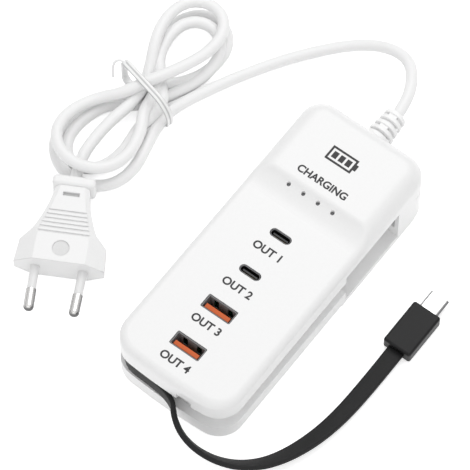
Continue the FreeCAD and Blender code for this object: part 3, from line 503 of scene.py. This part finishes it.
def add_grain(material, shader, scale, bump, roughness, color=None, spread=0.0, edge=0.0):
    """Fine moulded grain: noise that lifts the surface and shifts the roughness and colour a little."""
    tree = material.node_tree
    coords = tree.nodes.new("ShaderNodeTexCoord")
    noise = tree.nodes.new("ShaderNodeTexNoise")
    noise.inputs["Scale"].default_value = scale
    noise.inputs["Detail"].default_value = GRAIN_DETAIL
    tree.links.new(coords.outputs["Object"], noise.inputs["Vector"])
    lift = tree.nodes.new("ShaderNodeBump")
    lift.inputs["Strength"].default_value = bump
    lift.inputs["Distance"].default_value = GRAIN_HEIGHT * MM
    tree.links.new(noise.outputs["Fac"], lift.inputs["Height"])
    tree.links.new(lift.outputs["Normal"], shader.inputs["Normal"])
    span = tree.nodes.new("ShaderNodeMapRange")
    span.inputs["To Min"].default_value, span.inputs["To Max"].default_value = roughness
    tree.links.new(noise.outputs["Fac"], span.inputs["Value"])
    tree.links.new(span.outputs["Result"], shader.inputs["Roughness"])
    if edge:
        soft = tree.nodes.new("ShaderNodeBevel")
        soft.samples = EDGE_SAMPLES
        soft.inputs["Radius"].default_value = edge * MM
        tree.links.new(soft.outputs["Normal"], lift.inputs["Normal"])
    if color:
        shade = colour_ramp(tree, noise.outputs["Fac"], scaled(color, 1 - spread), scaled(color, 1 + spread))
        tree.links.new(shade, shader.inputs["Base Color"])


def plastic(name, color, roughness, scale=900.0, bump=0.06, spread=0.02, coat=0.0, edge=0.0, specular=0.5):
    material, shader = new_material(name, color, roughness)
    add_grain(material, shader, scale, bump, span_of(roughness, PLASTIC_ROUGHNESS), color, spread, edge)
    shader.inputs["Specular IOR Level"].default_value = specular
    shader.inputs["Coat Weight"].default_value = coat
    shader.inputs["Coat Roughness"].default_value = COAT_ROUGHNESS
    return material


def metal(name, color, roughness, scale=1400.0, bump=0.05, spread=0.05):
    material, shader = new_material(name, color, roughness, 1.0)
    add_grain(material, shader, scale, bump, span_of(roughness, METAL_ROUGHNESS), color, spread)
    return material


def metal_with_painted_reflection(name, dark, pale, roughness, turn, scale=1400.0, bump=0.04):
    """Bright plated metal with a painted reflection: its colour is darker on the sides, the less the surface
    points up, as painted shade for the darker room.
    """
    material, shader = new_material(name, pale, roughness, 1.0)
    add_grain(material, shader, scale, bump, span_of(roughness, PLATE_ROUGHNESS))
    tree = material.node_tree
    facing = tree.nodes.new("ShaderNodeNewGeometry")
    # Painted reflection: the colour runs from dark on the sides to pale on top, by the direction of the
    # surface
    shade = colour_ramp(tree, height_of(tree, facing.outputs["Normal"]), dark, pale, turn)
    tree.links.new(shade, shader.inputs["Base Color"])
    return material


def plastic_with_painted_hollow_shade(name, color, roughness, reach, scale=1500.0, bump=0.1):
    """Moulded plastic with painted shade: its colour is darker deep in its slots and hollows."""
    material, shader = new_material(name, color, roughness)
    add_grain(material, shader, scale, bump, span_of(roughness, PLASTIC_ROUGHNESS))
    tree = material.node_tree
    # Painted shade: ambient occlusion darkens the colour where the surface is hemmed in
    hollow = tree.nodes.new("ShaderNodeAmbientOcclusion")
    hollow.samples = HOLLOW_SAMPLES
    hollow.inputs["Distance"].default_value = reach * MM
    shade = colour_ramp(tree, hollow.outputs["AO"], scaled(color, PAINTED_HOLLOW_SHADE), color, HOLLOW_TURN)
    tree.links.new(shade, shader.inputs["Base Color"])
    return material


def dress(material, *nodes):
    for node in nodes:
        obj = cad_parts[node]
        obj.data.materials.clear()
        obj.data.materials.append(material)


def larger_of(tree, first, second):
    node = tree.nodes.new("ShaderNodeMath")
    node.operation = "MAXIMUM"
    tree.links.new(first, node.inputs[0])
    tree.links.new(second, node.inputs[1])
    return node.outputs[0]


def make_floor():
    """A pale floor that is white to the camera and in reflections, and keeps the shadow."""
    material, shader = new_material("floor", grey(FLOOR_GREY), FLOOR_ROUGHNESS)
    tree = material.node_tree
    shader.inputs["Specular IOR Level"].default_value = 0.0
    shader.inputs["Emission Color"].default_value = (1, 1, 1, 1)
    rays = tree.nodes.new("ShaderNodeLightPath").outputs
    seen = larger_of(tree, rays["Is Camera Ray"], rays["Is Glossy Ray"])
    seen = larger_of(tree, seen, rays["Is Transmission Ray"])
    glow = tree.nodes.new("ShaderNodeMath")
    glow.operation = "MULTIPLY"
    glow.inputs[1].default_value = FLOOR_GLOW
    tree.links.new(seen, glow.inputs[0])
    tree.links.new(glow.outputs[0], shader.inputs["Emission Strength"])
    bm = bmesh.new()
    bmesh.ops.create_grid(bm, x_segments=1, y_segments=1, size=FLOOR_HALF_M)
    mesh = bpy.data.meshes.new("floor")
    bm.to_mesh(mesh)
    bm.free()
    floor = link(bpy.data.objects.new("floor", mesh))
    floor.data.materials.append(material)


def make_sky():
    """Soft light from all round, brighter overhead."""
    world = bpy.data.worlds.new("studio")
    bpy.context.scene.world = world
    world.use_nodes = True
    tree = world.node_tree
    coords = tree.nodes.new("ShaderNodeTexCoord")
    height = height_of(tree, coords.outputs["Generated"])
    shade = colour_ramp(tree, height, grey(SKY_LOW), grey(SKY_OVERHEAD))
    tree.links.new(shade, tree.nodes["Background"].inputs["Color"])


def make_lamps():
    for name, at, width, watts in LAMPS_M:
        data = bpy.data.lights.new(name, "AREA")
        data.shape = "DISK"
        data.size = width
        data.energy = watts
        lamp = link(bpy.data.objects.new(name, data))
        lamp.location = at
        lamp.rotation_mode = "QUATERNION"
        lamp.rotation_quaternion = (Vector(LAMP_AIM_M) - Vector(at)).to_track_quat("-Z", "Y")


make_camera()

# Materials
white = plastic("white_case", grey(0.86), 0.34, coat=0.1)
cord_white = plastic("white_cord", grey(0.88), 0.42, scale=1500.0, bump=0.1)
plug_white = plastic("white_plug", grey(0.87), 0.4, scale=1200.0, bump=0.1, edge=0.5)
# Strain relief: white plastic with painted shade in its slots
relief_white_painted_shade = plastic_with_painted_hollow_shade("white_relief_painted_shade", grey(0.94), 0.42, 1.2)
recess_grey = plastic("recess_grey", grey(0.74), 0.6, scale=2600.0, bump=0.25, spread=0.06)
# Darker grey for the floor of the plug's slot: painted shade
slot_painted_shade = plastic("slot_painted_shade", grey(0.54), 0.6)
tie_clear = plastic("clear_tie", grey(0.88), 0.25, coat=0.4)
# Darker grey for the tie's groove and edges: painted shade
tie_painted_shade = plastic("tie_painted_shade", grey(0.6), 0.3)
black = plastic("black_cable", (0.006, 0.006, 0.0065), 0.66, scale=2200.0, bump=0.2, spread=0.2,
                specular=0.42)
black_moulded = plastic("black_housing", (0.007, 0.007, 0.0075), 0.42, scale=2200.0, bump=0.15, spread=0.2,
                        edge=0.6, specular=0.27)
ink = plastic("ink", (0.02, 0.02, 0.022), 0.5, scale=3000.0, spread=0.1)
steel = metal("steel", (0.62, 0.62, 0.63), 0.28)
# USB-A shells: steel darkened to a dark grey, painted shade for the inside of the ports
port_steel_painted_shade = plastic("port_steel_painted_shade", (0.22, 0.22, 0.225), 0.45, spread=0.06)
dark_steel = metal("dark_steel", (0.12, 0.12, 0.125), 0.4)
# Pins and connector shell: plated metal with a painted reflection, darker on the sides
nickel_painted_reflection = metal_with_painted_reflection("nickel_painted_reflection", grey(0.12), (0.86, 0.85, 0.84), 0.16, (0.45, 0.85))
shell_steel_painted_reflection = metal_with_painted_reflection("shell_steel_painted_reflection", (0.14, 0.14, 0.145), grey(0.88), 0.22, (0.6, 1.0))
sleeve = plastic("grey_sleeve", grey(0.8), 0.4)
orange = plastic("orange_tongue", (0.62, 0.105, 0.01), 0.55, spread=0.05)
gold = metal("gold_contact", (0.85, 0.62, 0.25), 0.25)
dark = plastic("dark_plastic", (0.03, 0.03, 0.032), 0.45, spread=0.1)
board = plastic("board_green", (0.03, 0.16, 0.07), 0.4, spread=0.1)
winding = plastic("winding_tape", (0.75, 0.55, 0.08), 0.35, spread=0.08)
can = metal("can", (0.65, 0.65, 0.67), 0.35)
brown = plastic("brown_wire", (0.12, 0.05, 0.02), 0.45)
blue = plastic("blue_wire", (0.03, 0.1, 0.4), 0.45)
lens = plastic("light_lens", (0.12, 0.12, 0.125), 0.25)

# Cords, with the pieces that are on them
cord = make_mains_cord(cord_white)
cable, cable_line = make_charging_cable(black)
tie = make_tie_strap(tie_clear, tie_painted_shade)
tie_end = make_tie_end(tie_clear)

# Details on the plug and the case
make_recess_face(recess_grey)
make_slot_face(slot_painted_shade)
make_marks(ink)

# Finishes of the solids
dress(white, "top_cover", "bottom_shell")
dress(relief_white_painted_shade, "strain_relief")
dress(plug_white, "plug_body")
dress(nickel_painted_reflection, "plug_pin_1", "plug_pin_2")
dress(sleeve, "pin_sleeve_1", "pin_sleeve_2")
dress(black_moulded, "connector_housing", "cable_anchor")
dress(steel, "case_screws")
dress(shell_steel_painted_reflection, "connector_shell")
dress(port_steel_painted_shade, "usb_a_shell_1", "usb_a_shell_2")
dress(dark_steel, "usb_c_shell_1", "usb_c_shell_2")
dress(orange, "usb_a_tongue_1", "usb_a_tongue_2")
dress(gold, "usb_a_contacts_1", "usb_a_contacts_2", "usb_c_contacts_1", "usb_c_contacts_2")
dress(dark, "usb_c_tongue_1", "usb_c_tongue_2", "connector_insert", "port_controllers", "bridge_rectifier",
      "power_transistor", "board_header", "fuse", "transformer_core", "filter_choke")
dress(board, "port_board", "main_board")
dress(winding, "transformer_winding", "suppression_capacitor")
dress(can, "bulk_capacitors", "output_capacitors")
dress(brown, "live_lead")
dress(blue, "neutral_lead")
dress(lens, "leds", "light_pipes")

# Stage
make_floor()
make_sky()
make_lamps()
bpy.context.scene.view_settings.view_transform = "Standard"
